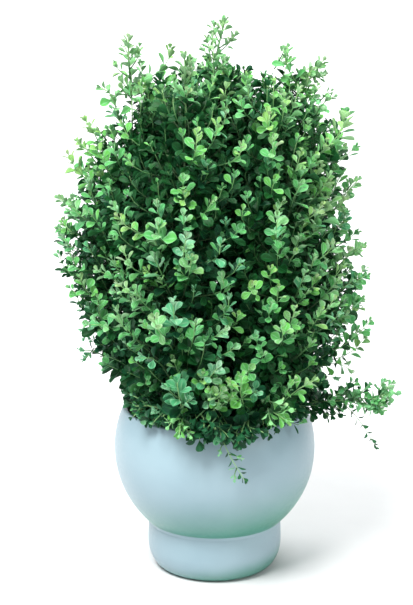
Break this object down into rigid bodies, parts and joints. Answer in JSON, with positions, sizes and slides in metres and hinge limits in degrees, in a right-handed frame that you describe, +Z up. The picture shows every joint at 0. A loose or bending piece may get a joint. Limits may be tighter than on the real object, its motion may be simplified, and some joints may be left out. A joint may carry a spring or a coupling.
{
  "type": "artificial tabletop tree",
  "caption": "Bushy artificial boxwood-style tree of bendable leafy picks in a lift-out liner, in a globe pot on a rounded foot.",
  "frame": {"origin": "centre of the foot's underside, on the table", "axes": "+Z up, -Y towards the front of the tree, +X to its right as seen from the front"},
  "size_m": [0.2557, 0.2188, 0.4365],
  "materials": {
    "pot_glaze": "satin pale blue-grey glaze",
    "liner_plastic": "matt black moulded cup",
    "cement": "rough cast cement",
    "dry_foam": null,
    "moss": "dark fibrous moss mat",
    "spike_plastic": "dull green moulded plastic",
    "stem_plastic": "satin green plastic over wire",
    "leaf_plastic": "satin green leaves, lighter at their edges"
  },
  "bodies": {
    "pot": {"bowl": "pot_glaze", "foot_ring": "pot_glaze"},
    "insert": {"liner_cup": "liner_plastic", "ballast": "cement", "foam_core": "dry_foam", "moss_cover": "moss", "low_branch_spike": "spike_plastic", "pick_1_spike": "spike_plastic", "pick_2_spike": "spike_plastic", "pick_3_spike": "spike_plastic", "pick_4_spike": "spike_plastic", "pick_5_spike": "spike_plastic", "pick_6_spike": "spike_plastic", "trailer_spike": "spike_plastic", "core_stem": "stem_plastic", "core_spray_low": "leaf_plastic", "core_spray_middle": "leaf_plastic", "core_spray_top": "leaf_plastic"},
    "pick_1": {"pick_1_stem": "stem_plastic", "pick_1_spray_low": "leaf_plastic", "pick_1_spray_middle": "leaf_plastic", "pick_1_spray_top": "leaf_plastic"},
    "pick_2": {"pick_2_stem": "stem_plastic", "pick_2_spray_low": "leaf_plastic", "pick_2_spray_middle": "leaf_plastic", "pick_2_spray_top": "leaf_plastic"},
    "pick_3": {"pick_3_stem": "stem_plastic", "pick_3_spray_low": "leaf_plastic", "pick_3_spray_middle": "leaf_plastic", "pick_3_spray_top": "leaf_plastic"},
    "pick_4": {"pick_4_stem": "stem_plastic", "pick_4_spray_low": "leaf_plastic", "pick_4_spray_middle": "leaf_plastic", "pick_4_spray_top": "leaf_plastic"},
    "pick_5": {"pick_5_stem": "stem_plastic", "pick_5_spray_low": "leaf_plastic", "pick_5_spray_middle": "leaf_plastic", "pick_5_spray_top": "leaf_plastic"},
    "pick_6": {"pick_6_stem": "stem_plastic", "pick_6_spray_low": "leaf_plastic", "pick_6_spray_middle": "leaf_plastic", "pick_6_spray_top": "leaf_plastic"},
    "tip_0": {"tip_0_stem": "stem_plastic", "tip_0_leaves": "leaf_plastic"},
    "tip_1": {"tip_1_stem": "stem_plastic", "tip_1_leaves": "leaf_plastic"},
    "tip_4": {"tip_4_stem": "stem_plastic", "tip_4_leaves": "leaf_plastic"},
    "tip_5": {"tip_5_stem": "stem_plastic", "tip_5_leaves": "leaf_plastic"},
    "low_branch": {"low_branch_stem": "stem_plastic", "low_branch_spray_inner": "leaf_plastic", "low_branch_spray_tip": "leaf_plastic"},
    "trailer": {"trailer_stem": "stem_plastic", "trailer_spray": "leaf_plastic"}
  },
  "joints": [
    {"name": "insert_lift", "type": "slide", "parent": "pot", "child": "insert", "axis": [0, 0, 1], "range_m": [0, 0.1]},
    {"name": "pick_1_bend", "type": "hinge", "parent": "insert", "child": "pick_1", "pos_m": [0.03545, 0.00625, 0.12368], "axis": [-0.1736, 0.9848, 0], "range_deg": [0, 10]},
    {"name": "pick_2_bend", "type": "hinge", "parent": "insert", "child": "pick_2", "pos_m": [0.01231, 0.03383, 0.12368], "axis": [-0.9397, 0.342, 0], "range_deg": [0, 10]},
    {"name": "pick_3_bend", "type": "hinge", "parent": "insert", "child": "pick_3", "pos_m": [-0.02314, 0.02758, 0.12368], "axis": [-0.766, -0.6428, 0], "range_deg": [0, 10]},
    {"name": "pick_4_bend", "type": "hinge", "parent": "insert", "child": "pick_4", "pos_m": [-0.03545, -0.00625, 0.12368], "axis": [0.1736, -0.9848, 0], "range_deg": [0, 10]},
    {"name": "pick_5_bend", "type": "hinge", "parent": "insert", "child": "pick_5", "pos_m": [-0.01231, -0.03383, 0.12368], "axis": [0.9397, -0.342, 0], "range_deg": [0, 10]},
    {"name": "pick_6_bend", "type": "hinge", "parent": "insert", "child": "pick_6", "pos_m": [0.02314, -0.02758, 0.12368], "axis": [0.766, 0.6428, 0], "range_deg": [0, 10]},
    {"name": "tip_0_bend", "type": "hinge", "parent": "insert", "child": "tip_0", "pos_m": [0, 0, 0.40031], "axis": [0, 1, 0], "range_deg": [-25, 20]},
    {"name": "tip_1_bend", "type": "hinge", "parent": "pick_1", "child": "tip_1", "pos_m": [0.06303, 0.01111, 0.38431], "axis": [-0.1736, 0.9848, 0], "range_deg": [-25, 20]},
    {"name": "tip_4_bend", "type": "hinge", "parent": "pick_4", "child": "tip_4", "pos_m": [-0.06303, -0.01111, 0.38431], "axis": [0.1736, -0.9848, 0], "range_deg": [-25, 20]},
    {"name": "tip_5_bend", "type": "hinge", "parent": "pick_5", "child": "tip_5", "pos_m": [-0.02189, -0.06014, 0.38431], "axis": [0.9397, -0.342, 0], "range_deg": [-25, 20]},
    {"name": "low_branch_bend", "type": "hinge", "parent": "insert", "child": "low_branch", "pos_m": [0.04323, -0.01573, 0.12368], "axis": [0.342, 0.9397, 0], "range_deg": [-12, 8]},
    {"name": "trailer_bend", "type": "hinge", "parent": "insert", "child": "trailer", "pos_m": [0.00799, -0.0453, 0.12368], "axis": [0.9848, 0.1736, 0], "range_deg": [-20, 10]}
  ]
}
